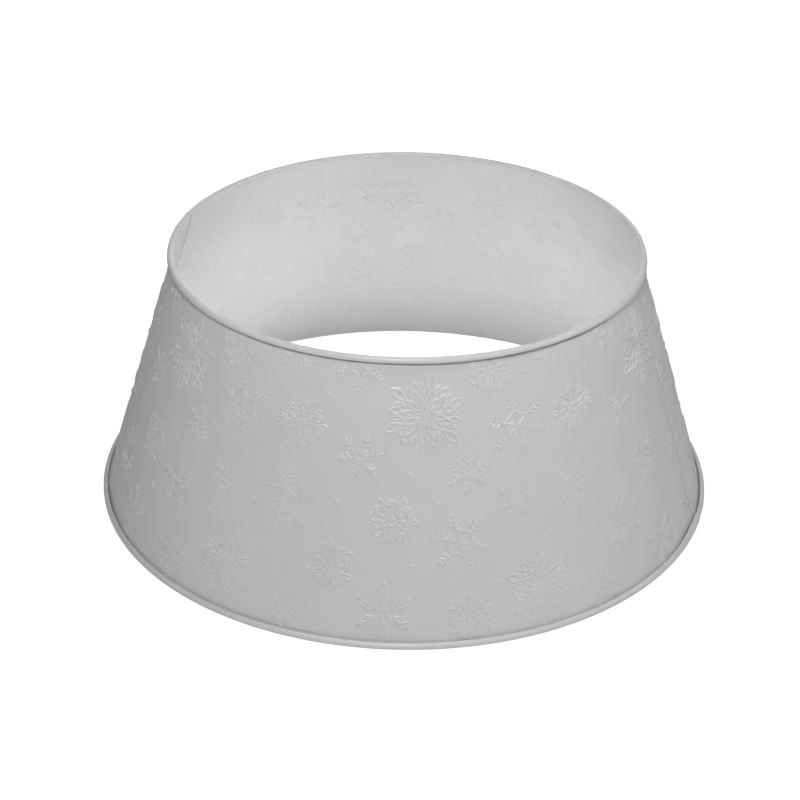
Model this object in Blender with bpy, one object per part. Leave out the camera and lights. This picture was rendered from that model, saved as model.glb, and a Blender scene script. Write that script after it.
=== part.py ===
# Christmas tree collar: two half panels of embossed sheet metal that push into each other.
# Metres, +Z up. The origin is the centre of the ring that stands on the floor, and the seams
# lie on the X axis. A place on a panel is a panel angle, in degrees from its spigot end to its
# socket end, and a slant, the distance up the wall from the foot of the wall.

import bpy
import bmesh
from math import cos, degrees, hypot, radians, sin
from mathutils import Vector
from mathutils.geometry import delaunay_2d_cdt

MM = 0.001

# The ring
FLOOR_DIAMETER = 660 * MM       # over the bead that stands on the floor
TOP_DIAMETER = 496 * MM         # over the bead round the top
COLLAR_HEIGHT = 274 * MM
SHEET = 0.4 * MM                # thickness of the steel sheet
HALF_TURN = 180                 # degrees that one panel covers, without its lap
LAP_ANGLE = 5                   # degrees that the beads reach into each other at a seam
WALL_LAP = 1                    # degrees that the walls themselves lie over each other
SPIGOT_JOGGLE = 2.5             # degrees in which the sheet steps aside before the lap
SOCKET_JOGGLE = 10
FACET_ANGLE = 5                 # degrees of one flat facet between the laps

# The rolled beads. Their radii are to the middle of the sheet.
BEAD_RADIUS = 2.85 * MM
SPIGOT_DRAW = 0.45 * MM         # how much the spigot end's bead is drawn in
LAP_GAP = 0.6 * MM              # clear space between the two sheets in a lap
PIN_STRIP = 1.5 * MM            # wall left along the spigot's beads, where it is cut back
CURL_TURN = 285                 # degrees that the sheet is rolled round
FLAT_TURN = 42                  # degrees of the bead's flat, on which the collar stands
CURL_STEPS = 4                  # facets from the flat to the bead's free edge

# The hems: the sheet's edge, folded flat against the inside before the bead was rolled
HEM_DEPTH = 36 * MM
HEM_STEP = 0.6 * MM             # slant from the hem's face to the wall's face

# The locks: tongues on a socket end that slip under straps lanced from a spigot end
LOCK_DROP = 62 * MM             # from a rim's bead to the middle of a lock
TONGUE_HEIGHT = 8 * MM
TONGUE_LENGTH = 7 * MM
TONGUE_TAPER = 1 * MM
STRAP_SETBACK = 1.5 * MM        # from the socket's edge to the strap
STRAP_WIDTH = 5 * MM
STRAP_LEG = 3 * MM
STRAP_NARROWING = 0.5 * MM      # how much the strap draws in at each slit
STRAP_GAP = 1 * MM              # clear space round a tongue

# The embossing
RELIEF = 0.8 * MM               # how far the motifs stand out of the sheet
SECTOR_ANGLE = 60               # degrees after which the pattern repeats
EDGE_MARGIN = 2 * MM            # plain sheet along every edge
GRID_PITCH = 22 * MM            # spacing of the wall's own points between the motifs
GRID_MARGIN = 5 * MM            # from a motif to the nearest of those points
WELD = 0.001 * MM               # points of the blank closer than this are one
SHARP_ANGLE = 35                # degrees past which an edge between facets shows
BLANK_LEAN = 0.02               # share by which the blank is sheared to the side while it is
                                # cut into triangles, so that no four points lie on one circle

# The paint
FRONT_SHADE = 0.72
BACK_SHADE = 0.74
PAINT_ROUGHNESS = 0.38

# Radius of each kind of motif, at a size share of 1
MOTIF_RADIUS = {
    "bloom": 38.5 * MM,
    "fern": 31 * MM,
    "petal": 26 * MM,
    "spark": 22 * MM,
    "fork": 30 * MM,
    "dot": 3.4 * MM,
}

# Outline of half an arm, from its tip to the notch or side arm half way to the next arm.
# Each point is a share of the half arm's angle and a share of the motif's radius.
OUTLINE_SHARES = {
    "bloom": [(0, 1), (0.28, 0.74), (0.45, 0.38), (0.78, 0.62), (1, 0.84)],
    "fern": [(0, 1), (0.16, 0.80), (0.66, 0.86), (0.26, 0.52), (1, 0.30)],
    "petal": [(0, 1), (0.5, 0.42), (1, 0.82)],
    "spark": [(0, 1), (0.30, 0.60), (1, 0.26)],
    "fork": [(0, 1), (0.30, 0.66), (0.72, 0.84), (0.60, 0.44), (1, 0.30)],
}

# Crest of each arm: share of the half arm's angle, share of the radius, share of the relief
CREST_SHARES = {
    "bloom": [(0, 0.68, 1), (1, 0.56, 0.8)],
    "fern": [(0, 0.62, 1)],
    "petal": [(0, 0.64, 1), (1, 0.52, 0.8)],
    "spark": [(0, 0.48, 1)],
    "fork": [(0, 0.56, 1)],
}
HUB_SHARE = 0.7                 # relief at the middle of a motif
ARMS = 6
DOT_SIDES = 4

# One sector of the pattern. Kind, degrees from the sector's start, share of the slant,
# degrees that the motif is turned, and size share.
SECTOR_MOTIFS = [
    ("bloom", 55.5, 0.81, -10, 1.0),
    ("bloom", 17.2, 0.165, 8, 0.98),
    ("fern", 27.5, 0.47, -11, 1.1),
    ("fern", 15.2, 0.74, 11, 1.0),
    ("fern", 2.3, 0.37, 19, 0.97),
    ("fern", 41.8, 0.975, -5, 0.85),
    ("petal", 29.8, 0.745, 30, 1.0),
    ("petal", 49.0, 0.44, 30, 0.93),
    ("petal", 37.8, 0.27, 4, 1.0),
    ("petal", 3.7, 0.085, 0, 0.92),
    ("petal", 10.3, 0.945, -6, 0.86),
    ("petal", 27.0, 0.985, -10, 0.92),
    ("spark", 42.5, 0.66, -21, 1.0),
    ("spark", 4.4, 0.61, -3, 1.0),
    ("spark", 13.3, 0.475, -19, 0.96),
    ("spark", 29.5, 0.06, 0, 1.05),
    ("fork", 48.0, 0.115, 0, 1.0),
    ("dot", 18.5, 0.92, 0, 1.0),
    ("dot", 35.0, 0.865, 0, 1.0),
    ("dot", 20.0, 0.61, 0, 1.0),
    ("dot", 33.6, 0.61, 0, 1.0),
    ("dot", 38.6, 0.49, 0, 1.0),
    ("dot", 52.6, 0.60, 0, 1.0),
    ("dot", 57.7, 0.51, 0, 0.85),
    ("dot", 53.3, 0.285, 0, 1.0),
    ("dot", 20.4, 0.335, 0, 1.0),
    ("dot", 11.3, 0.335, 0, 0.85),
    ("dot", 9.0, 0.205, 0, 0.85),
    ("dot", 28.2, 0.21, 0, 0.85),
]

# Worked out from the sizes above
PANEL_ANGLE = HALF_TURN + LAP_ANGLE
START_ANGLE = HALF_TURN - LAP_ANGLE / 2     # of the front panel's spigot end, from +X
WALL_START = LAP_ANGLE - WALL_LAP           # where the wall starts, past the spigot's pins
WALL_COVER = HALF_TURN + WALL_START         # where the other panel's wall starts to cover it
BEAD_OUTER = BEAD_RADIUS + SHEET / 2
SPIGOT_RADIUS = BEAD_RADIUS - SPIGOT_DRAW
SOCKET_RADIUS = SPIGOT_RADIUS + SHEET + LAP_GAP
SOCKET_GROWTH = SOCKET_RADIUS - BEAD_RADIUS
FLAT_SHARE = cos(radians(FLAT_TURN / 2))
FLOOR_RING = Vector((FLOOR_DIAMETER / 2 - BEAD_OUTER, BEAD_OUTER * FLAT_SHARE))
TOP_RING = Vector((TOP_DIAMETER / 2 - BEAD_OUTER, COLLAR_HEIGHT - BEAD_OUTER * FLAT_SHARE))
SLANT = (TOP_RING - FLOOR_RING).length
UP = (TOP_RING - FLOOR_RING).normalized()
OUT = Vector((UP.y, -UP.x))
MEAN_RADIUS = (FLOOR_RING.x + TOP_RING.x) / 2


def clear_scene():
    for item in list(bpy.data.objects):
        bpy.data.objects.remove(item, do_unlink=True)


def columns():
    """Panel angles of the lines where the panel's facets meet."""
    first = LAP_ANGLE + SPIGOT_JOGGLE
    count = max(1, round((HALF_TURN - first) / FACET_ANGLE))
    middle = [first + (HALF_TURN - first) * i / count for i in range(count + 1)]
    lap = [LAP_ANGLE / 2, WALL_START, LAP_ANGLE]
    return [0] + lap + middle + [HALF_TURN + angle for angle in lap]


def lap_share(angle):
    """Spigot share and socket share: 1 in the panel's laps, 0 past their joggles."""
    spigot = (LAP_ANGLE + SPIGOT_JOGGLE - angle) / SPIGOT_JOGGLE
    socket = (angle - HALF_TURN + SOCKET_JOGGLE) / SOCKET_JOGGLE
    return min(1, max(0, spigot)), min(1, max(0, socket))


def rings(angle):
    """Bead radius and the middles of the floor bead and the top bead, as (radius, height)."""
    spigot, socket = lap_share(angle)
    bead = BEAD_RADIUS - SPIGOT_DRAW * spigot + SOCKET_GROWTH * socket
    shift = SOCKET_GROWTH * max(spigot, socket)
    return bead, FLOOR_RING + Vector((-shift, shift)), TOP_RING + Vector((0, -shift))


def turned(place, angle):
    """A (radius, height) place, turned to its panel angle on the front panel."""
    heading = radians(START_ANGLE + angle)
    return Vector((place.x * cos(heading), place.x * sin(heading), place.y))


def wall_point(angle, slant, lift):
    """A point on the wall, lifted outwards from the middle of the sheet."""
    bead, floor_ring, top_ring = rings(angle)
    middle = floor_ring.lerp(top_ring, slant / SLANT)
    return turned(middle + OUT * (lift - bead), angle)


def curl_point(angle, at_top, turn, lift):
    """A point on a bead, rolled outwards by turn degrees from the wall."""
    bead, floor_ring, top_ring = rings(angle)
    ring = top_ring if at_top else floor_ring
    along = UP if at_top else -UP
    arm = OUT * -cos(radians(turn)) + along * sin(radians(turn))
    return turned(ring + arm * (bead - lift), angle)


def curl_turns(at_top):
    """Turns of the bead's corners, with one facet level, where the bead is lowest or highest."""
    lean = degrees(OUT.angle(Vector((1, 0))))
    level = 90 + lean if at_top else 90 - lean
    start = level - FLAT_TURN / 2
    end = level + FLAT_TURN / 2
    lead = [0, start / 2, start] if start > FLAT_TURN else [0, start]
    return lead + [end + (CURL_TURN - end) * i / CURL_STEPS for i in range(CURL_STEPS + 1)]


def angle_for(length, slant):
    """Degrees of a length along the wall at a height on the slant."""
    radius = FLOOR_RING.x + UP.x * slant
    return degrees(length / radius)


def lock_slants():
    return [LOCK_DROP, SLANT - LOCK_DROP]


def edge_slants():
    """Heights of the points that both end edges share: the hems' edges and the rims."""
    hem = HEM_DEPTH + HEM_STEP
    return [0, HEM_DEPTH, hem, SLANT - hem, SLANT - HEM_DEPTH, SLANT]


def socket_edge():
    """The socket end's edge from the floor up, with its tongues."""
    points = [(PANEL_ANGLE, slant) for slant in edge_slants()]
    half = TONGUE_HEIGHT / 2
    for middle in lock_slants():
        for side in (-1, 1):
            root = middle + side * half
            tip = middle + side * (half - TONGUE_TAPER)
            points.append((PANEL_ANGLE, root))
            points.append((PANEL_ANGLE + angle_for(TONGUE_LENGTH, tip), tip))
    return sorted(points, key=lambda point: point[1])


def spigot_edge():
    """The spigot end's edge from the floor up. Its wall is cut back, so its beads are pins."""
    low = [(0, 0.0), (0, PIN_STRIP), (WALL_START, PIN_STRIP)]
    wall = [(WALL_START, slant) for slant in edge_slants()[1:-1]]
    high = [(angle, SLANT - slant) for angle, slant in reversed(low)]
    return low + wall + high


def strap_corners(middle):
    """Panel angles and slants of the strap lanced round a lock's middle."""
    left = LAP_ANGLE + angle_for(STRAP_SETBACK, middle)
    right = left + angle_for(STRAP_WIDTH, middle)
    reach = TONGUE_HEIGHT / 2 + STRAP_GAP
    slants = [middle - reach - STRAP_LEG, middle - reach, middle + reach, middle + reach + STRAP_LEG]
    return left, right, slants


class Sketch:
    """Points and lines on the flat blank, with the lift of each point."""

    def __init__(self):
        self.points = []
        self.lifts = []
        self.lines = []
        self.index = {}

    def point(self, angle, slant, lift=0.0):
        key = (round(angle, 4), round(slant, 7))
        if key not in self.index:
            self.index[key] = len(self.points)
            self.points.append((angle, slant))
            self.lifts.append(lift)
        return self.index[key]

    def line(self, start, end):
        a = self.point(*start)
        b = self.point(*end)
        if a != b:
            self.lines.append((a, b))

    def path(self, points, closed=False):
        follow = points[1:] + points[:1] if closed else points[1:]
        for start, end in zip(points, follow):
            self.line(start, end)


def clipped(start, end, low, high):
    """The part of a line inside a rectangle of the blank. Cut ends lie flat on the sheet."""
    near = 0.0
    far = 1.0
    for axis in (0, 1):
        run = end[axis] - start[axis]
        for limit, inward in ((low[axis], 1), (high[axis], -1)):
            room = inward * (start[axis] - limit)
            gain = inward * run
            if gain == 0:
                if room < 0:
                    return None
            elif gain > 0:
                near = max(near, -room / gain)
            else:
                far = min(far, -room / gain)
    if near >= far:
        return None

    def at(share):
        if share == 0:
            return start
        if share == 1:
            return end
        return (start[0] + (end[0] - start[0]) * share, start[1] + (end[1] - start[1]) * share, 0.0)

    return at(near), at(far)


def lock_distance(angle, slant):
    """How far a place on the wall is from the nearest strap's rectangle."""
    radius = FLOOR_RING.x + UP.x * slant
    nearest = SLANT
    for middle in lock_slants():
        left, right, slants = strap_corners(middle)
        across = radians(max(left - angle, angle - right, 0)) * radius
        along = max(slants[0] - slant, slant - slants[-1], 0)
        nearest = min(nearest, hypot(across, along))
    return nearest


def motif_places():
    """Kind, panel angle, slant, turn and radius of each motif that clears the locks."""
    places = []
    for sector in range(-1, int(PANEL_ANGLE // SECTOR_ANGLE) + 1):
        for kind, angle, share, turn, size in SECTOR_MOTIFS:
            middle = angle + sector * SECTOR_ANGLE
            radius = MOTIF_RADIUS[kind] * size
            if lock_distance(middle, share * SLANT) > radius + EDGE_MARGIN / 2:
                places.append((kind, middle, share * SLANT, turn, radius))
    return places


def motif_point(middle, slant, heading, reach, lift):
    """A point of a motif, reach away from its middle, heading in degrees from straight up."""
    height = slant + reach * cos(radians(heading))
    across = reach * sin(radians(heading))
    return (middle + angle_for(across, height), height, lift)


def draw_flake(sketch, kind, middle, slant, turn, radius, low, high):
    """Outline and crests of a snowflake, kept inside the embossed field."""
    half_arm = HALF_TURN / ARMS
    outline = []
    crests = []
    for arm in range(ARMS):
        base = 2 * half_arm * arm - turn
        falling = OUTLINE_SHARES[kind]
        for share, reach in falling:
            outline.append(motif_point(middle, slant, base + share * half_arm, reach * radius, 0.0))
        for share, reach in falling[-2:0:-1]:
            outline.append(motif_point(middle, slant, base + (2 - share) * half_arm, reach * radius, 0.0))
        for share, reach, rise in CREST_SHARES[kind]:
            heading = base + share * half_arm
            crest = motif_point(middle, slant, heading, reach * radius, rise * RELIEF)
            tip_reach = 1 if share == 0 else falling[-1][1]
            tip = motif_point(middle, slant, heading, tip_reach * radius, 0.0)
            crests.append((crest, tip))
    hub = (middle, slant, HUB_SHARE * RELIEF)
    lines = list(zip(outline, outline[1:] + outline[:1]))
    for crest, tip in crests:
        lines.append((hub, crest))
        lines.append((crest, tip))
    for start, end in lines:
        kept = clipped(start, end, low, high)
        if kept:
            sketch.line(*kept)


def draw_dot(sketch, middle, slant, radius, low, high):
    """A low pyramid, left out where the field would cut it."""
    top = (middle, slant, RELIEF)
    corners = []
    for side in range(DOT_SIDES):
        heading = 2 * HALF_TURN * side / DOT_SIDES
        corners.append(motif_point(middle, slant, heading, radius, 0.0))
    inside = all(low[i] < corner[i] < high[i] for corner in corners for i in (0, 1))
    if inside:
        sketch.path(corners, closed=True)
        sketch.point(*top)


def blank_outline():
    """Corner points of the blank, anticlockwise: foot, socket end, top, spigot end."""
    lines = columns()
    foot = [(angle, 0.0) for angle in lines]
    socket = socket_edge()[1:-1]
    top = [(angle, SLANT) for angle in reversed(lines)]
    spigot = list(reversed(spigot_edge()[1:-1]))
    return foot + socket + top + spigot


def add_straps(sketch):
    for middle in lock_slants():
        left, right, slants = strap_corners(middle)
        bottom = slants[0]
        top = slants[-1]
        sketch.path([(left, bottom), (right, bottom), (right, top), (left, top)], closed=True)


def outer_sketch():
    """The outer face: the embossing, and loose points between the motifs."""
    sketch = Sketch()
    sketch.path(blank_outline(), closed=True)
    add_straps(sketch)
    edge = angle_for(EDGE_MARGIN, 0)
    low = (WALL_START + edge, EDGE_MARGIN)
    high = (WALL_COVER - edge, SLANT - EDGE_MARGIN)
    places = motif_places()
    for kind, middle, slant, turn, radius in places:
        if kind == "dot":
            draw_dot(sketch, middle, slant, radius, low, high)
        else:
            draw_flake(sketch, kind, middle, slant, turn, radius, low, high)
    rows = max(2, round(SLANT / GRID_PITCH))
    heights = [SLANT * i / rows for i in range(1, rows)]
    sketch.path([(WALL_COVER, height) for height in [0.0] + heights + [SLANT]])
    for angle in columns():
        for height in heights:
            if WALL_START < angle < WALL_COVER and is_free(angle, height, places):
                sketch.point(angle, height)
    return sketch


def is_free(angle, slant, places):
    """True where a loose point keeps clear of every motif and strap."""
    radius = FLOOR_RING.x + UP.x * slant
    for kind, middle, height, turn, reach in places:
        across = radians(angle - middle) * radius
        if hypot(across, slant - height) < reach + GRID_MARGIN:
            return False
    return lock_distance(angle, slant) > GRID_MARGIN


def inner_sketch():
    """The inner face: facets, with the hems' edges running round it."""
    sketch = Sketch()
    sketch.path(blank_outline(), closed=True)
    add_straps(sketch)
    wall = [angle for angle in columns() if angle >= WALL_START]
    for slant in edge_slants()[1:-1]:
        sketch.path([(angle, slant) for angle in wall])
    for angle in wall[1:-1]:
        sketch.path([(angle, slant) for slant in edge_slants()])
    return sketch


def on_blank(angle, slant):
    """False past the blank's edges, beside the tongues and where a strap is lanced out."""
    rounding = angle_for(WELD, slant)
    cut_back = PIN_STRIP < slant < SLANT - PIN_STRIP
    if angle < (WALL_START if cut_back else rounding):
        return False
    in_tongue = angle < PANEL_ANGLE - rounding
    for middle in lock_slants():
        left, right, slants = strap_corners(middle)
        if left < angle < right and slants[0] < slant < slants[-1]:
            return False
        if abs(slant - middle) < TONGUE_HEIGHT / 2:
            in_tongue = True
    return in_tongue


def outer_lift(angle, slant, relief):
    return SHEET / 2 + relief


def inner_lift(angle, slant, relief):
    """The hems double the sheet, except at the spigot end, where they are cut back."""
    in_hem = slant <= HEM_DEPTH or slant >= SLANT - HEM_DEPTH
    spigot, socket = lap_share(angle)
    hem = SHEET * (1 - spigot) if in_hem else 0.0
    return -SHEET / 2 - hem


def blank_place(angle, slant):
    return Vector((radians(angle) * MEAN_RADIUS + BLANK_LEAN * slant, slant))


def place_on_panel(coord):
    return degrees((coord.x - BLANK_LEAN * coord.y) / MEAN_RADIUS), coord.y


def add_skin(bm, sketch, lift_of):
    """Triangulates a sketch and lays it on the wall. Gives the vertex of each sketch point."""
    flat = [blank_place(angle, slant) for angle, slant in sketch.points]
    coords, edges, faces, from_points, from_edges, from_faces = delaunay_2d_cdt(
        flat, sketch.lines, [], 0, WELD, True)
    verts = []
    skin = {}
    for coord, sources in zip(coords, from_points):
        angle, slant = place_on_panel(coord)
        relief = 0.0
        if sources:
            angle, slant = sketch.points[sources[0]]
            relief = sketch.lifts[sources[0]]
        vert = bm.verts.new(wall_point(angle, slant, lift_of(angle, slant, relief)))
        verts.append(vert)
        for source in sources:
            skin[sketch.points[source]] = vert
    for face in faces:
        middle = sum((coords[i] for i in face), Vector((0, 0))) / len(face)
        if on_blank(*place_on_panel(middle)):
            bm.faces.new([verts[i] for i in face])
    return skin


def ribbon(bm, first, second):
    """Faces between two rows of vertices of the same length."""
    for i in range(len(first) - 1):
        bm.faces.new((first[i], first[i + 1], second[i + 1], second[i]))


def add_curl(bm, skin, at_top, lift):
    """Rolls one face of the sheet round a bead. Gives its rows, from the wall to the free edge."""
    slant = SLANT if at_top else 0.0
    rows = [[skin[(angle, slant)] for angle in columns()]]
    for turn in curl_turns(at_top)[1:]:
        row = [bm.verts.new(curl_point(angle, at_top, turn, lift)) for angle in columns()]
        ribbon(bm, rows[-1], row)
        rows.append(row)
    return rows


def add_strap_faces(bm, skins, middle):
    """The strap stands in from the wall over a tongue, between two upright slits."""
    left, right, slants = strap_corners(middle)
    narrowing = angle_for(STRAP_NARROWING, middle)
    reach = SHEET + LAP_GAP + SHEET / 2 + STRAP_GAP + SHEET / 2
    sides = []
    for skin, lift in skins:
        rows = []
        for angle, side in ((left, left + narrowing), (right, right - narrowing)):
            row = [skin[(angle, slants[0])]]
            for slant in slants[1:3]:
                row.append(bm.verts.new(wall_point(side, slant, lift - reach)))
            row.append(skin[(angle, slants[3])])
            rows.append(row)
        ribbon(bm, rows[0], rows[1])
        sides.append(rows)
    for side in (0, 1):
        outer = sides[0][side]
        inner = sides[1][side]
        ribbon(bm, outer, inner)
        ribbon(bm, [outer[0], outer[-1]], [inner[0], inner[-1]])


def panel_mesh():
    bm = bmesh.new()
    outer = add_skin(bm, outer_sketch(), outer_lift)
    inner = add_skin(bm, inner_sketch(), inner_lift)
    for edge in (socket_edge(), spigot_edge()):
        ribbon(bm, [outer[point] for point in edge], [inner[point] for point in edge])
    for at_top in (False, True):
        outer_rows = add_curl(bm, outer, at_top, SHEET / 2)
        inner_rows = add_curl(bm, inner, at_top, -SHEET / 2)
        ribbon(bm, outer_rows[-1], inner_rows[-1])
        for end in (0, -1):
            ribbon(bm, [row[end] for row in outer_rows], [row[end] for row in inner_rows])
    for middle in lock_slants():
        add_strap_faces(bm, ((outer, SHEET / 2), (inner, -SHEET / 2)), middle)
    bmesh.ops.recalc_face_normals(bm, faces=bm.faces[:])
    mesh = bpy.data.meshes.new("half_panel")
    bm.to_mesh(mesh)
    bm.free()
    mesh.shade_smooth()
    mesh.set_sharp_from_angle(angle=radians(SHARP_ANGLE))
    return mesh


def painted_steel(name, shade):
    material = bpy.data.materials.new(name)
    material.use_nodes = True
    shader = material.node_tree.nodes["Principled BSDF"]
    shader.inputs["Base Color"].default_value = (shade, shade, shade, 1)
    shader.inputs["Roughness"].default_value = PAINT_ROUGHNESS
    shader.inputs["Metallic"].default_value = 0.0
    return material


def build():
    clear_scene()
    mesh = panel_mesh()
    slide = bpy.data.objects.new("front_panel_slide", None)
    slide.location = (0, -MEAN_RADIUS, COLLAR_HEIGHT / 2)
    bpy.context.collection.objects.link(slide)

    front = bpy.data.objects.new("front_panel", mesh)
    front.parent = slide
    front.location = (0, MEAN_RADIUS, -COLLAR_HEIGHT / 2)
    back = bpy.data.objects.new("back_panel", mesh)
    back.rotation_euler.z = radians(HALF_TURN)
    for panel in (front, back):
        bpy.context.collection.objects.link(panel)
    mesh.materials.append(painted_steel("front_white_paint", FRONT_SHADE))
    back.material_slots[0].link = "OBJECT"
    back.material_slots[0].material = painted_steel("back_white_paint", BACK_SHADE)


build()
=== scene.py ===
# Christmas tree collar: half panels of embossed, white painted sheet metal round a tree stand
import bpy
import bmesh
from math import atan2, ceil, cos, degrees, hypot, pi, radians, sin
from mathutils import Matrix, Vector, kdtree, noise


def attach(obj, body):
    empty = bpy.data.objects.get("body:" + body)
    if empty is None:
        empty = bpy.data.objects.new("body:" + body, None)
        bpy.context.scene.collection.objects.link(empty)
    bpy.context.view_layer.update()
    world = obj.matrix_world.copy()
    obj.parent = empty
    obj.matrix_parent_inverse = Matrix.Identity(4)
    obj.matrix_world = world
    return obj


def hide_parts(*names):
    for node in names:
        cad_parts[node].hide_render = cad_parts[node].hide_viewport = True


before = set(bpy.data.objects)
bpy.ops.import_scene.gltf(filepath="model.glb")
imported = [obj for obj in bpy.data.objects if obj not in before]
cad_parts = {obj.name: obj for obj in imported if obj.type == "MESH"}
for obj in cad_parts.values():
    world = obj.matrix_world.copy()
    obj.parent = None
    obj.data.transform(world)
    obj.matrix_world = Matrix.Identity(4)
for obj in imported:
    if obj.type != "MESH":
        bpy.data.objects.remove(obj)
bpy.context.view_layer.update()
mm = 0.001

# sizes of one half panel, as it leaves the press: lengths in metres, angles in degrees
panel = {
    "floorDiameter": 659.4 * mm,    # over the rolled edge that stands on the floor
    "topDiameter": 495.4 * mm,
    "height": 274 * mm,
    "thickness": 0.4 * mm,
    "halfTurn": 180,
    "lapAngle": 5,              # that the beads reach into each other at a seam
    "wallLap": 1,               # that the walls lie over each other
    "pinStrip": 1.5 * mm,       # wall left along the spigot's beads, where it is cut back
    "spigotJoggle": 2.5,
    "socketJoggle": 10,
    "beadRadius": 2.85 * mm,    # to the middle of the sheet
    "beadFlat": 42,             # degrees of the bead that lie flat on the floor
    "beadSquare": 4.2,          # power of the rolled edge's rounded square, 2 is a circle
    "spigotDraw": 0.45 * mm,    # how much the spigot end's bead is drawn in
    "lapGap": 0.6 * mm,
    "curlTurn": 285,
    "curlRows": 13,
    "hemDepth": 36 * mm,
    "hemStep": 0.15 * mm,
    "cellSize": 8 * mm,         # of the flat sheet, before it is cut finer at the strokes
    "edgeColumn": 0.25,         # degrees of the narrow cells along a cut edge
    "finerCuts": (6.1 * mm, 3 * mm, 1 * mm),    # reach of each finer cut past a stroke
    "partAngles": (0, 47, 91, 135, 185),        # between which the panel is one visual piece
    "partNames": ("SpigotSheet", "LeftSheet", "RightSheet", "SocketSheet"),
    "seamPress": 0.45 * mm,     # how far the covering wall's edge springs in at a seam
    "seamReach": 2.5,           # degrees over which it does
    "seamFade": 10 * mm,        # from a rim, over which the wall comes free of it
    "seamFeather": 0.26 * mm,   # how much thinner the sheet's edge is there
    "edgePlay": 0.05,           # degrees within which a point lies on that edge
    "waveHeight": 0.22 * mm,    # how far the rolled sheet wanders from a true cone
    "waveLength": 95 * mm,
    "wavePlace": (3.1, 7.7, 0.4),
    "waveCalm": 12,             # degrees from a lap over which the wander grows
    "waveRise": 25 * mm,        # the same from a rim
    "sharpAngle": 62,
}

# the locks that hold a socket end behind a spigot end
lock = {
    "drop": 62 * mm,            # from a rim to the lock's middle
    "tongueHalf": 4 * mm,
    "tongueLength": 6.6 * mm,
    "tongueRows": (0.3, 1),     # shares of its length at which it has points
    "tongueTip": 0.75,          # share of the tongue's height left at its tip
    "strapHalf": 5 * mm,
    "strapLeg": 3 * mm,
    "strapStart": 5.3,          # degrees from the spigot end
    "strapEnd": 6.3,
    "strapReach": 1.35 * mm,    # how far the strap stands in from the wall
    "strapSlit": 0.03,          # degrees between the strap's open side and the wall
    "strapSlope": 0.1,          # degrees over which its closed side comes down from the wall
    "anglePlay": 0.01,          # degrees and length within which two places are one
    "slantPlay": 0.1 * mm,
}

# the embossing
relief = {
    "strokeHeight": 1.0 * mm,
    "strokeHalfWidth": 1.3 * mm,
    "leafMarks": (0.2, 0.42, 0.66, 0.88),   # shares of a loop's length at which it has corners
    "leafPower": 1.2,           # over 1 moves a loop's widest place outwards
    "dotHeight": 1.2 * mm,
    "dotRadius": 3.4 * mm,
    "sampleStep": 0.55 * mm,    # between the places that a stroke is followed by
    "snapReach": 0.3 * mm,      # a point this near to a stroke's crest is moved onto it
    "insideShare": 0.85,        # how much of the relief shows on the inside
    "hemFade": 5 * mm,          # over which the relief dies out at a hem on the inside
    "creaseDrop": 14 * mm,      # the faint line that the hem's edge leaves below the top bead
    "creaseDepth": 0.1 * mm,
    "creaseHalfWidth": 1.6 * mm,
    "sector": 60,               # degrees after which the pattern repeats
    "sectors": range(-1, 4),    # those that reach into a panel
}

# radius of each motif at a size of 1
motifRadius = {
    "bloom": 39 * mm,
    "fern": 31.5 * mm,
    "petal": 26 * mm,
    "spark": 22.5 * mm,
    "fork": 30 * mm,
}

# strokes of one arm, six times round: degrees from the arm, start radius, degrees that the
# stroke leans from the way out, length and half width, all but the degrees in motif radii.
# A stroke with no half width is a bar, and one with a half width is a leaf shaped loop.
armStrokes = {
    "bloom": [
        (0, 0.16, 0, 0.36, 0.075),
        (0, 0.55, 0, 0.45, 0.1),
        (30, 0.18, 0, 0.32, 0.06),
        (30, 0.52, 0, 0.3, 0.075),
        (13, 0.52, 14, 0.24, 0.05),
    ],
    "petal": [
        (0, 0.28, 0, 0.3, 0.055),
        (30, 0.28, 0, 0.26, 0.05),
        (0, 0.62, 0, 0.38, 0.09),
        (11, 0.6, 34, 0.3, 0.07),
        (30, 0.6, 0, 0.2, 0.06),
    ],
    "fern": [
        (0, 0, 0, 0.97, 0),
        (0, 0.54, 58, 0.2, 0),
        (0, 0.69, 58, 0.18, 0),
        (0, 0.84, 58, 0.13, 0),
        (0, 0.48, 132, 0.3, 0),
    ],
    "spark": [
        (0, 0.1, 0, 0.88, 0),
        (0, 0.42, 50, 0.27, 0),
        (0, 0.66, 48, 0.22, 0),
        (30, 0.12, 0, 0.26, 0.06),
    ],
    "fork": [
        (0, 0.12, 0, 0.7, 0),
        (0, 0.3, 36, 0.28, 0),
        (0, 0.46, 36, 0.3, 0),
        (0, 0.62, 36, 0.24, 0),
        (0, 0.82, 0, 0.18, 0.05),
    ],
}
hubRings = {"petal": 0.17}      # radius of the ring at the middle, in motif radii

# one sector of the pattern: motif, degrees from the sector's start, share of the slant,
# degrees that it is turned clockwise, and size
sectorMotifs = [
    ("bloom", 55.7, 0.81, 10, 1.05),
    ("bloom", 17.2, 0.165, -8, 0.99),
    ("fern", 27.5, 0.465, 11, 1.08),
    ("fern", 15.5, 0.74, -11, 1.0),
    ("fern", 2.2, 0.36, -15, 1.0),
    ("fern", 41.8, 0.975, 5, 0.85),
    ("petal", 29.6, 0.745, 30, 1.05),
    ("petal", 49.3, 0.44, 30, 0.97),
    ("petal", 37.9, 0.268, -4, 1.02),
    ("petal", 3.6, 0.085, 0, 0.92),
    ("petal", 10.6, 0.945, 6, 0.9),
    ("petal", 27.0, 0.985, 10, 0.92),
    ("spark", 42.6, 0.66, 18, 1.0),
    ("spark", 4.2, 0.603, 4, 1.0),
    ("spark", 13.4, 0.475, 19, 0.97),
    ("spark", 29.5, 0.06, 0, 1.05),
    ("fork", 48.1, 0.115, 0, 1.0),
]
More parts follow.
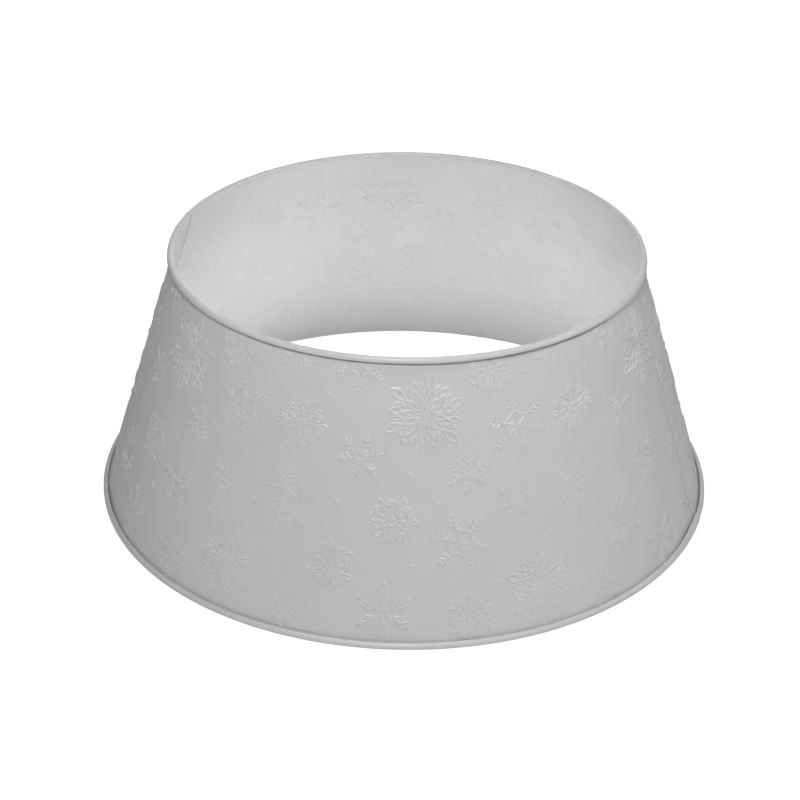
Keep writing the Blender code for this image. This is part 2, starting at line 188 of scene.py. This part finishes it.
# round dots: degrees, share of the slant, and height
sectorDots = [
    (18.5, 0.92, 1),
    (35, 0.865, 0.8),
    (20, 0.61, 1),
    (33.7, 0.61, 0.85),
    (38.6, 0.495, 1),
    (52.6, 0.605, 0.9),
    (57.8, 0.505, 0.6),
    (53.3, 0.284, 1),
    (20.3, 0.335, 1),
    (11.4, 0.335, 0.7),
    (8.8, 0.205, 0.7),
    (28.2, 0.21, 0.6),
]

# the panel's lines, worked out from its sizes
beadOuter = panel["beadRadius"] + panel["thickness"] / 2
flatHeight = beadOuter * cos(radians(panel["beadFlat"] / 2))
floorRing = Vector((panel["floorDiameter"] / 2 - beadOuter, flatHeight))
topRing = Vector((panel["topDiameter"] / 2 - beadOuter, panel["height"] - flatHeight))
slantLength = (topRing - floorRing).length
wayUp = (topRing - floorRing).normalized()
wayOut = Vector((wayUp.y, -wayUp.x))
panelAngle = panel["halfTurn"] + panel["lapAngle"]
startAngle = panel["halfTurn"] - panel["lapAngle"] / 2
socketGrowth = panel["thickness"] + panel["lapGap"] - panel["spigotDraw"]
wallStart = panel["lapAngle"] - panel["wallLap"]
wallCover = panel["halfTurn"] + wallStart                   # where the other wall covers this one
coneShare = -wayUp.x                                        # sine of the cone's half angle
footReach = floorRing.x / coneShare                         # from the cone's tip to its foot
innerLayer = -1                 # height of the sheet's inside while the sheet is flat


def smoothShare(value):
    value = min(1, max(0, value))
    return value * value * (3 - 2 * value)


def lapShares(angle):
    # how far the panel is in its spigot end and in its socket end
    spigot = smoothShare((panel["lapAngle"] - angle) / panel["spigotJoggle"] + 1)
    socket = smoothShare((angle - panel["halfTurn"]) / panel["socketJoggle"] + 1)
    return spigot, socket


def sheetPoint(angle, along, lift):
    # a place on the rolled panel: along runs from the floor bead's edge, up the wall from 0
    # to slantLength, and on to the top bead's edge
    spigot, socket = lapShares(angle)
    bead = panel["beadRadius"] - panel["spigotDraw"] * spigot + socketGrowth * socket
    shift = socketGrowth * max(spigot, socket)
    lowRing = floorRing + Vector((-shift, shift))
    highRing = topRing + Vector((0, -shift))
    if along < 0 or along > slantLength:
        past = -along if along < 0 else along - slantLength
        turn = past / panel["beadRadius"]
        side = -wayUp if along < 0 else wayUp
        ring = lowRing if along < 0 else highRing
        power = panel["beadSquare"]
        fuller = (abs(sin(turn)) ** power + abs(cos(turn)) ** power) ** (-1 / power)
        place = ring + (side * sin(turn) - wayOut * cos(turn)) * (bead - lift) * fuller
    else:
        place = lowRing.lerp(highRing, along / slantLength) + wayOut * (lift - bead)
    heading = radians(startAngle + angle)
    reach = min(panel["floorDiameter"] / 2, place.x)
    height = min(panel["height"], max(0, place.y))
    return Vector((reach * cos(heading), reach * sin(heading), height))


def flatPoint(angle, along, layer=0):
    # the same place on the cone rolled out flat, with the cone's tip at the origin
    turn = radians(angle - panelAngle / 2) * coneShare
    reach = footReach - along
    return Vector((reach * sin(turn), -reach * cos(turn), layer))


def placeOf(flat):
    turn = atan2(flat.x, -flat.y)
    return degrees(turn / coneShare) + panelAngle / 2, footReach - hypot(flat.x, flat.y)


def steps(marks, size):
    # the marks, with even steps of about the size between them
    places = [marks[0]]
    for low, high in zip(marks, marks[1:]):
        count = max(1, round((high - low) / size))
        places += [low + (high - low) * i / count for i in range(1, count + 1)]
    return places


def sheetColumns():
    narrow = panel["edgeColumn"]
    marks = [0, narrow, wallStart, wallStart + narrow, lock["strapStart"], lock["strapEnd"]]
    marks += [panel["lapAngle"] + panel["spigotJoggle"], panel["halfTurn"], wallCover, panelAngle]
    return steps(marks, degrees(panel["cellSize"] / floorRing.x))


def sheetRows():
    curl = radians(panel["curlTurn"]) * panel["beadRadius"]
    beadRows = [curl * i / panel["curlRows"] for i in range(1, panel["curlRows"] + 1)]
    hem = panel["hemDepth"]
    low = [0, panel["pinStrip"], hem, hem + panel["hemStep"]]
    middle = lock["drop"]
    tongue = lock["tongueHalf"]
    strap = lock["strapHalf"]
    foot = strap + lock["strapLeg"]
    low += [middle - foot, middle - strap, middle - tongue, middle]
    low += [middle + tongue, middle + strap, middle + foot]
    marks = low + [slantLength - mark for mark in reversed(low)]
    wall = steps(marks, panel["cellSize"])
    return [-row for row in reversed(beadRows)] + wall + [slantLength + row for row in beadRows]


def motifStrokes(kind, angle, slant, turn, size):
    # places along the strokes of one motif, on the flat cone
    centre = flatPoint(angle, slant)
    up = -centre.normalized()
    right = Vector((up.y, -up.x, 0))
    radius = motifRadius[kind] * size
    samples = []

    def onSheet(heading, reach, start=centre):
        return start + (up * cos(heading) + right * sin(heading)) * reach

    def drawLine(start, end):
        count = max(1, ceil((end - start).length / relief["sampleStep"]))
        for i in range(count + 1):
            samples.append(start.lerp(end, i / count))

    for arm in range(6):
        for offset, inner, lean, length, half in armStrokes[kind]:
            paired = lean or offset not in (0, 30)
            for side in (1, -1) if paired else (1,):
                heading = radians(60 * arm + turn + side * offset)
                way = heading + side * radians(lean)
                start = onSheet(heading, inner * radius)
                end = onSheet(way, length * radius, start)
                if not half:
                    drawLine(start, end)
                    continue
                across = onSheet(way + pi / 2, half * radius, start) - start
                for edge in (1, -1):
                    outline = [start]
                    for share in relief["leafMarks"]:
                        bulge = sin(pi * share ** relief["leafPower"])
                        outline.append(start.lerp(end, share) + across * edge * bulge)
                    outline.append(end)
                    for a, b in zip(outline, outline[1:]):
                        drawLine(a, b)
        if kind in hubRings:
            hub = hubRings[kind] * radius
            ends = (60 * arm + turn, 60 * arm + 60 + turn)
            drawLine(*(onSheet(radians(heading), hub) for heading in ends))
    return samples


def onField(angle, along, edge):
    room = degrees(edge / topRing.x)
    return wallStart + room < angle < wallCover - room and edge < along < slantLength - edge


def embossing():
    # every place of the pattern that lies on the embossed field, with its half width and height
    places = []
    sizes = []
    edge = panel["pinStrip"]
    for sector in relief["sectors"]:
        turned = sector * relief["sector"]
        for kind, angle, share, turn, size in sectorMotifs:
            for place in motifStrokes(kind, angle + turned, share * slantLength, turn, size):
                at, along = placeOf(place)
                if onField(at, along, edge):
                    places.append(place)
                    sizes.append((relief["strokeHalfWidth"], relief["strokeHeight"]))
        for angle, share, height in sectorDots:
            if onField(angle + turned, share * slantLength, relief["dotRadius"]):
                places.append(flatPoint(angle + turned, share * slantLength))
                sizes.append((relief["dotRadius"], relief["dotHeight"] * height))
    tree = kdtree.KDTree(len(places))
    for i, place in enumerate(places):
        tree.insert(place, i)
    tree.balance()
    return tree, sizes


def isInner(vert):
    return vert.co.z < innerLayer / 2


def strokeGap(tree, sizes, flat):
    # distance from a flat place to the nearest stroke's edge, under 0 inside the stroke
    place, i, gap = tree.find(Vector((flat.x, flat.y, 0)))
    return gap - sizes[i][0]


def reliefAt(tree, sizes, flat):
    place, i, gap = tree.find(Vector((flat.x, flat.y, 0)))
    halfWidth, height = sizes[i]
    share = gap / halfWidth
    return height * (1 - share * share) ** 2 if share < 1 else 0


def creaseAt(along):
    share = (slantLength - relief["creaseDrop"] - along) / relief["creaseHalfWidth"]
    return -relief["creaseDepth"] * (1 - share * share) ** 2 if abs(share) < 1 else 0


def seamPress(angle, along):
    # the wall's edge at the spigot end lies tight on the wall that it covers
    near = smoothShare((wallStart + panel["seamReach"] - angle) / panel["seamReach"])
    level = min(along, slantLength - along) / panel["seamFade"]
    return -panel["seamPress"] * near * smoothShare(level)


def waveAt(angle, along):
    # the slow wander of rolled sheet, none at the rims and laps
    room = min(angle - panel["lapAngle"], panel["halfTurn"] - panel["lapAngle"] - angle)
    calm = smoothShare(room / panel["waveCalm"])
    level = smoothShare(min(along, slantLength - along) / panel["waveRise"])
    place = flatPoint(angle, along) / panel["waveLength"] + Vector(panel["wavePlace"])
    return panel["waveHeight"] * 2 * noise.noise(place) * calm * level


def rowAt(rows, slant):
    return min(range(len(rows)), key=lambda j: abs(rows[j] - slant))


def columnEdges(bm, grid, column, low, high):
    return [bm.edges.get((grid[column, j], grid[column, j + 1])) for j in range(low, high)]


def madeOf(made, kind):
    return [item for item in made["geom"] if isinstance(item, kind)]


def tongueAngle(share):
    return panelAngle + degrees(lock["tongueLength"] * share / floorRing.x)


def atTongueRow(edge, share):
    reach = tongueAngle(share)
    return all(abs(placeOf(vert.co)[0] - reach) < lock["anglePlay"] for vert in edge.verts)


def addTongue(bm, grid, last, rows, middle):
    # drawn out of the socket end's edge
    low = rowAt(rows, middle - lock["tongueHalf"])
    high = rowAt(rows, middle + lock["tongueHalf"])
    edges = columnEdges(bm, grid, last, low, high)
    for share in lock["tongueRows"]:
        made = bmesh.ops.extrude_edge_only(bm, edges=edges)
        for vert in madeOf(made, bmesh.types.BMVert):
            along = placeOf(vert.co)[1]
            tip = 1 - (1 - lock["tongueTip"]) * share * share
            vert.co = flatPoint(tongueAngle(share), middle + (along - middle) * tip)
        edges = [edge for edge in madeOf(made, bmesh.types.BMEdge)
                 if len(edge.link_faces) == 1 and atTongueRow(edge, share)]


def inHole(face, grid, left, low, high):
    corners = {grid[left + i, j] for i in (0, 1) for j in range(low, high + 1)}
    return all(vert in corners for vert in face.verts)


def isPastMiddle(angle):
    return angle >= (lock["strapStart"] + lock["strapEnd"]) / 2


def isStrapSide(edge, middle, foot):
    # the strap's free edges on the side where it is closed
    if len(edge.link_faces) != 1 or all(vert.co.z == 0 for vert in edge.verts):
        return False
    angles, slants = zip(*(placeOf(vert.co) for vert in edge.verts))
    nearFoot = max(abs(slant - middle) for slant in slants) < foot + lock["slantPlay"]
    return nearFoot and isPastMiddle(min(angles))


def addStrap(bm, grid, left, rows, middle):
    # lanced in from the spigot end's wall
    foot = lock["strapHalf"] + lock["strapLeg"]
    low = rowAt(rows, middle - foot)
    high = rowAt(rows, middle + foot)
    hole = [face for face in bm.faces if inHole(face, grid, left, low, high)]
    bmesh.ops.delete(bm, geom=hole, context="FACES")
    start = lock["strapStart"] + lock["strapSlit"]
    end = lock["strapEnd"] - lock["strapSlope"]
    edge = bm.edges.get((grid[left, low], grid[left + 1, low]))
    for slant in (middle - lock["strapHalf"], middle + lock["strapHalf"]):
        made = bmesh.ops.extrude_edge_only(bm, edges=[edge])
        verts = madeOf(made, bmesh.types.BMVert)
        for vert in verts:
            angle = end if isPastMiddle(placeOf(vert.co)[0]) else start
            vert.co = flatPoint(angle, slant, -lock["strapReach"])
        edge = bm.edges.get(verts)
    top = bm.edges.get((grid[left, high], grid[left + 1, high]))
    bmesh.ops.bridge_loops(bm, edges=[edge, top])
    # the strap's far side stays joined to the wall, and the tongue comes in at the near one
    border = columnEdges(bm, grid, left + 1, low, high)
    strapSide = [edge for edge in bm.edges if isStrapSide(edge, middle, foot)]
    bmesh.ops.holes_fill(bm, edges=border + strapSide, sides=0)


def addLocks(bm, grid, columns, rows):
    left = columns.index(lock["strapStart"])
    for middle in (lock["drop"], slantLength - lock["drop"]):
        addTongue(bm, grid, len(columns) - 1, rows, middle)
        addStrap(bm, grid, left, rows, middle)


def refine(bm, tree, sizes, inner, margin):
    # cuts the faces near a stroke into four
    edges = set()
    for face in bm.faces:
        if any(isInner(vert) != inner for vert in face.verts):
            continue
        centre = face.calc_center_median()
        angle, along = placeOf(centre)
        inWall = onField(angle, along, panel["pinStrip"])
        if inner and not panel["hemDepth"] < along < slantLength - panel["hemDepth"]:
            continue
        if inWall and strokeGap(tree, sizes, centre) < margin:
            edges.update(face.edges)
    bmesh.ops.subdivide_edges(bm, edges=list(edges), cuts=1, use_grid_fill=True)


def isCutBack(face):
    # the wall past a seam, between the beads, which enter the other panel alone
    angle, along = placeOf(face.calc_center_median())
    return angle < wallStart and panel["pinStrip"] < along < slantLength - panel["pinStrip"]


def flatSheet():
    # the blank with its locks, as an outside and an inside face
    columns = sheetColumns()
    rows = sheetRows()
    bm = bmesh.new()
    bmesh.ops.create_grid(bm, x_segments=len(columns) - 1, y_segments=len(rows) - 1, size=1)
    grid = {}
    for vert in bm.verts:
        i = round((vert.co.x + 1) / 2 * (len(columns) - 1))
        j = round((vert.co.y + 1) / 2 * (len(rows) - 1))
        grid[i, j] = vert
        vert.co = flatPoint(columns[i], rows[j])
    addLocks(bm, grid, columns, rows)
    away = [face for face in bm.faces if isCutBack(face)]
    bmesh.ops.delete(bm, geom=away, context="FACES")
    whole = bm.verts[:] + bm.edges[:] + bm.faces[:]
    made = bmesh.ops.extrude_face_region(bm, geom=whole, use_keep_orig=True)
    for vert in madeOf(made, bmesh.types.BMVert):
        vert.co.z += innerLayer
    return bm


def insideLift(angle, along, rise, inset):
    # where the inside face lies from the sheet's middle, with the hem that doubles it at a rim
    room = min(along, slantLength - along) - panel["hemDepth"]
    play = panel["hemStep"] / 2         # a row's points lie a little off it after the cuts
    doubled = inset == 0 and -panel["hemDepth"] - play < room < play
    hem = panel["thickness"] * (1 - lapShares(angle)[0]) if doubled else 0
    shown = relief["insideShare"] * smoothShare(room / relief["hemFade"])
    return -panel["thickness"] / 2 - hem + rise * shown


def outsideLift(angle, along, rise, inset):
    onEdge = abs(angle - wallStart) < panel["edgePlay"] and rise == 0 and inset == 0
    level = smoothShare(min(along, slantLength - along) / panel["seamFade"])
    feather = panel["seamFeather"] * level * onEdge
    return panel["thickness"] / 2 + rise + creaseAt(along) - feather


def rollSheet(bm, tree, sizes):
    # every point of the flat sheet goes to its place on the embossed and rolled one
    # the relief's height share, kept as the mask of the coat's painted highlight on the crests
    crest = bm.verts.layers.float.new("crest")
    for vert in bm.verts:
        inner = isInner(vert)
        inset = vert.co.z - innerLayer if inner else vert.co.z
        angle, along = placeOf(vert.co)
        rise = 0
        if onField(angle, along, panel["pinStrip"]) and inset == 0:
            near, i, gap = tree.find(Vector((vert.co.x, vert.co.y, 0)))
            if gap < relief["snapReach"] and sizes[i][0] < relief["dotRadius"]:
                angle, along = placeOf(near)
                vert.co.xy = near.xy
            rise = reliefAt(tree, sizes, vert.co)
        vert[crest] = rise / relief["strokeHeight"]
        bend = waveAt(angle, along) + seamPress(angle, along) if 0 < along < slantLength else 0
        lift = (insideLift if inner else outsideLift)(angle, along, rise, inset)
        vert.co = sheetPoint(angle, along, lift + bend + inset)


def pressedPanel():
    bm = flatSheet()
    print("flat sheet", len(bm.faces), "faces")
    tree, sizes = embossing()
    for margin in panel["finerCuts"]:
        refine(bm, tree, sizes, False, margin)
        refine(bm, tree, sizes, True, margin)
    print("cut finer at the strokes", len(bm.faces), "faces")
    rollSheet(bm, tree, sizes)
    bmesh.ops.recalc_face_normals(bm, faces=bm.faces[:])
    if bm.calc_volume(signed=True) < 0:
        bmesh.ops.reverse_faces(bm, faces=bm.faces[:])
    return bm


def panelPart(pressed, low, high):
    # the panel between two of its angles, closed where it is cut
    bm = pressed.copy()
    for angle, side in ((low, 1), (high, -1)):
        if angle in (0, panelAngle):
            continue
        heading = radians(startAngle + angle)
        across = Vector((sin(heading), -cos(heading), 0)) * side
        whole = bm.verts[:] + bm.edges[:] + bm.faces[:]
        cut = bmesh.ops.bisect_plane(bm, geom=whole, dist=0, plane_co=(0, 0, 0),
                                     plane_no=across, clear_outer=True)["geom_cut"]
        rim = [item for item in cut if isinstance(item, bmesh.types.BMEdge)]
        bmesh.ops.holes_fill(bm, edges=rim, sides=0)
    mesh = bpy.data.meshes.new("pressedPanel")
    bm.to_mesh(mesh)
    bm.free()
    mesh.shade_smooth()
    mesh.set_sharp_from_angle(angle=radians(panel["sharpAngle"]))
    return mesh


# white powder coat: values shared by both panels
paint = {
    "colour": (0.66, 0.66, 0.657),
    "shadeSwing": 0.03,         # how much the coat's shade wanders
    "paintedCrestHighlight": 0.03,         # painted highlight: how much brighter the colour is made on the relief's crests
    "roughness": 0.335,
    "roughnessSwing": 0.05,
    "specular": 0.45,
    "peelScale": 420,           # grains of the coat in a metre
    "peelHeight": 0.012 * mm,
    "peelDetail": 2,
    "mottleScale": 14,          # clouds of the coat in a metre
    "mottleDetail": 5,
    "mottleRoughness": 0.6,
}
# sockets of the coat's node group, with the values that go into them
coatSockets = {
    "Shade Swing": "shadeSwing",
    "Painted Crest Highlight": "paintedCrestHighlight",
    "Roughness": "roughness",
    "Roughness Swing": "roughnessSwing",
    "Peel Scale": "peelScale",
    "Mottle Scale": "mottleScale",
}


def coatGroup():
    # shade that wanders at random, painted highlight on the relief's crests, roughness mask and
    # grain of a sprayed coat, from Object coordinates
    group = bpy.data.node_groups.new("sprayedCoat", "ShaderNodeTree")
    for side, names in (("INPUT", coatSockets), ("OUTPUT", ("Roughness", "Height"))):
        group.interface.new_socket(name="Colour", in_out=side, socket_type="NodeSocketColor")
        for name in names:
            group.interface.new_socket(name=name, in_out=side, socket_type="NodeSocketFloat")
    nodes = group.nodes
    links = group.links
    given = nodes.new("NodeGroupInput")
    out = nodes.new("NodeGroupOutput")
    coords = nodes.new("ShaderNodeTexCoord")

    mottle = nodes.new("ShaderNodeTexNoise")
    mottle.inputs["Detail"].default_value = paint["mottleDetail"]
    mottle.inputs["Roughness"].default_value = paint["mottleRoughness"]
    links.new(coords.outputs["Object"], mottle.inputs["Vector"])
    links.new(given.outputs["Mottle Scale"], mottle.inputs["Scale"])

    peel = nodes.new("ShaderNodeTexNoise")
    peel.inputs["Detail"].default_value = paint["peelDetail"]
    links.new(coords.outputs["Object"], peel.inputs["Vector"])
    links.new(given.outputs["Peel Scale"], peel.inputs["Scale"])

    centred = nodes.new("ShaderNodeMath")                   # mottle from -1 to 1
    centred.operation = "MULTIPLY_ADD"
    centred.inputs[1].default_value = 2
    centred.inputs[2].default_value = -1
    links.new(mottle.outputs["Fac"], centred.inputs[0])

    shade = nodes.new("ShaderNodeMath")
    shade.operation = "MULTIPLY_ADD"
    shade.inputs[2].default_value = 1
    links.new(centred.outputs[0], shade.inputs[0])
    links.new(given.outputs["Shade Swing"], shade.inputs[1])

    crest = nodes.new("ShaderNodeAttribute")
    crest.attribute_name = "crest"
    paintedCrestLight = nodes.new("ShaderNodeMath")                      # painted highlight: the colour is made lighter on the crests of the relief
    paintedCrestLight.operation = "MULTIPLY_ADD"
    links.new(crest.outputs["Fac"], paintedCrestLight.inputs[0])
    links.new(given.outputs["Painted Crest Highlight"], paintedCrestLight.inputs[1])
    links.new(shade.outputs[0], paintedCrestLight.inputs[2])

    tint = nodes.new("ShaderNodeVectorMath")
    tint.operation = "SCALE"
    links.new(given.outputs["Colour"], tint.inputs[0])
    links.new(paintedCrestLight.outputs[0], tint.inputs["Scale"])

    rough = nodes.new("ShaderNodeMath")
    rough.operation = "MULTIPLY_ADD"
    links.new(centred.outputs[0], rough.inputs[0])
    links.new(given.outputs["Roughness Swing"], rough.inputs[1])
    links.new(given.outputs["Roughness"], rough.inputs[2])

    links.new(tint.outputs[0], out.inputs["Colour"])
    links.new(rough.outputs[0], out.inputs["Roughness"])
    links.new(peel.outputs["Fac"], out.inputs["Height"])
    return group


def whiteCoat(name, group):
    material = bpy.data.materials.new(name)
    material.use_nodes = True
    nodes = material.node_tree.nodes
    links = material.node_tree.links
    shader = nodes["Principled BSDF"]
    coat = nodes.new("ShaderNodeGroup")
    coat.node_tree = group
    coat.inputs["Colour"].default_value = [*paint["colour"], 1]
    for socket, value in coatSockets.items():
        coat.inputs[socket].default_value = paint[value]
    links.new(coat.outputs["Colour"], shader.inputs["Base Color"])
    links.new(coat.outputs["Roughness"], shader.inputs["Roughness"])
    bump = nodes.new("ShaderNodeBump")
    bump.inputs["Distance"].default_value = paint["peelHeight"]
    links.new(coat.outputs["Height"], bump.inputs["Height"])
    links.new(bump.outputs["Normal"], shader.inputs["Normal"])
    shader.inputs["Specular IOR Level"].default_value = paint["specular"]
    return material


def buildPanels():
    group = coatGroup()
    pressed = pressedPanel()
    angles = panel["partAngles"]
    for name, turn in (("front", 0), ("back", pi)):
        body = name + "_half"
        node = name + "_panel"
        coat = whiteCoat(name + "Coat", group)
        for part, low, high in zip(panel["partNames"], angles, angles[1:]):
            mesh = panelPart(pressed, low, high)
            mesh.transform(Matrix.Rotation(turn, 4, "Z"))
            mesh.materials.append(coat)
            piece = bpy.data.objects.new(name + part, mesh)
            bpy.context.collection.objects.link(piece)
            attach(piece, body)
            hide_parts(node)
            print(piece.name, len(mesh.polygons), "faces")
    pressed.free()


# the room: a white floor and soft lamps, with places given as the photograph's camera sees them
studio = {
    "turn": 19,                 # degrees from the photograph's view to the collar's own axes
    "lens": 87.06,
    "sensor": 36,
    "clipEnd": 50,
    "distance": 2.103768,
    "aimHeight": 0.08,
    "elevation": 30.17496,      # degrees, as are the next three
    "roll": -0.80179,
    "pan": -0.15028,
    "tilt": -0.1796,
    "worldStrength": 0,         # the lamps alone light the collar
    "floorHalf": 15,
    "floorDrop": 0.1 * mm,
    "floorGlow": 0.95,          # of the floor that the camera sees, which keeps the shadow
    "floorShade": 0.3,
    "floorWhite": 0.8,          # of the floor that lights the collar from below
    # each lamp: degrees to the camera's right, degrees up, distance, size, watts, degrees of spread
    "lamps": [
        ("keyLamp", -3, 45, 1.8, 0.36, 13.8, 180),
        ("sideLamp", 84, 44, 3, 0.7, 27, 180),
        ("leftLamp", -86, 36, 3, 0.7, 13, 180),
        ("backRightLamp", 168, 6, 3, 1.1, 15, 180),
        ("backLeftLamp", -168, 6, 3, 1.1, 15, 180),
        ("insideLamp", 0, 90, 1, 0.4, 4, 9),
    ],
}


def placeCamera():
    tilt = radians(studio["elevation"])
    forward = Vector((0, cos(tilt), -sin(tilt)))
    place = -forward * studio["distance"] + Vector((0, 0, studio["aimHeight"]))
    right = Vector((1, 0, 0))
    up = right.cross(forward)
    base = Matrix((right, up, -forward))
    turned = (Matrix.Rotation(radians(studio["roll"]), 3, "Z")
              @ Matrix.Rotation(radians(studio["tilt"]), 3, "X")
              @ Matrix.Rotation(radians(studio["pan"]), 3, "Y") @ base)
    data = bpy.data.cameras.new("photoCamera")
    data.lens = studio["lens"]
    data.sensor_width = studio["sensor"]
    data.clip_end = studio["clipEnd"]
    camera = bpy.data.objects.new("photoCamera", data)
    room = Matrix.Rotation(radians(studio["turn"]), 4, "Z")
    camera.matrix_world = room @ Matrix.Translation(place) @ turned.transposed().to_4x4()
    bpy.context.collection.objects.link(camera)
    bpy.context.scene.camera = camera


def addFloor():
    bm = bmesh.new()
    bmesh.ops.create_grid(bm, x_segments=1, y_segments=1, size=studio["floorHalf"])
    bmesh.ops.translate(bm, verts=bm.verts[:], vec=(0, 0, -studio["floorDrop"]))
    mesh = bpy.data.meshes.new("studioFloor")
    bm.to_mesh(mesh)
    bm.free()
    floor = bpy.data.objects.new("studioFloor", mesh)
    bpy.context.collection.objects.link(floor)
    material = bpy.data.materials.new("studioFloor")
    material.use_nodes = True
    nodes = material.node_tree.nodes
    links = material.node_tree.links
    nodes.remove(nodes["Principled BSDF"])
    matte = nodes.new("ShaderNodeBsdfDiffuse")
    matte.inputs["Color"].default_value = [studio["floorWhite"]] * 3 + [1]
    shade = nodes.new("ShaderNodeBsdfDiffuse")
    shade.inputs["Color"].default_value = [studio["floorShade"]] * 3 + [1]
    glow = nodes.new("ShaderNodeEmission")
    glow.inputs["Strength"].default_value = studio["floorGlow"]
    seen = nodes.new("ShaderNodeAddShader")
    links.new(shade.outputs[0], seen.inputs[0])
    links.new(glow.outputs[0], seen.inputs[1])
    path = nodes.new("ShaderNodeLightPath")
    mix = nodes.new("ShaderNodeMixShader")
    links.new(path.outputs["Is Camera Ray"], mix.inputs["Fac"])
    links.new(matte.outputs[0], mix.inputs[1])
    links.new(seen.outputs[0], mix.inputs[2])
    links.new(mix.outputs[0], nodes["Material Output"].inputs["Surface"])
    mesh.materials.append(material)


def addLight():
    world = bpy.data.worlds.new("studioWorld")
    world.use_nodes = True
    nodes = world.node_tree.nodes
    links = world.node_tree.links
    light = nodes["Background"]
    light.inputs["Color"].default_value = (1, 1, 1, 1)
    light.inputs["Strength"].default_value = studio["worldStrength"]
    seen = nodes.new("ShaderNodeBackground")
    seen.inputs["Color"].default_value = (1, 1, 1, 1)
    path = nodes.new("ShaderNodeLightPath")
    mix = nodes.new("ShaderNodeMixShader")
    links.new(path.outputs["Is Camera Ray"], mix.inputs["Fac"])
    links.new(light.outputs[0], mix.inputs[1])
    links.new(seen.outputs[0], mix.inputs[2])
    links.new(mix.outputs[0], nodes["World Output"].inputs["Surface"])
    bpy.context.scene.world = world
    room = Matrix.Rotation(radians(studio["turn"]), 4, "Z")
    for name, side, rise, distance, size, power, spread in studio["lamps"]:
        data = bpy.data.lights.new(name, "AREA")
        data.shape = "DISK"
        data.size = size
        data.energy = power
        data.spread = radians(spread)
        lamp = bpy.data.objects.new(name, data)
        lamp.matrix_world = (room @ Matrix.Rotation(radians(side), 4, "Z")
                             @ Matrix.Rotation(radians(90 - rise), 4, "X")
                             @ Matrix.Translation((0, 0, distance)))
        bpy.context.collection.objects.link(lamp)


bpy.context.scene.view_settings.view_transform = "Standard"
placeCamera()
addFloor()
addLight()
print("studio ready")
buildPanels()
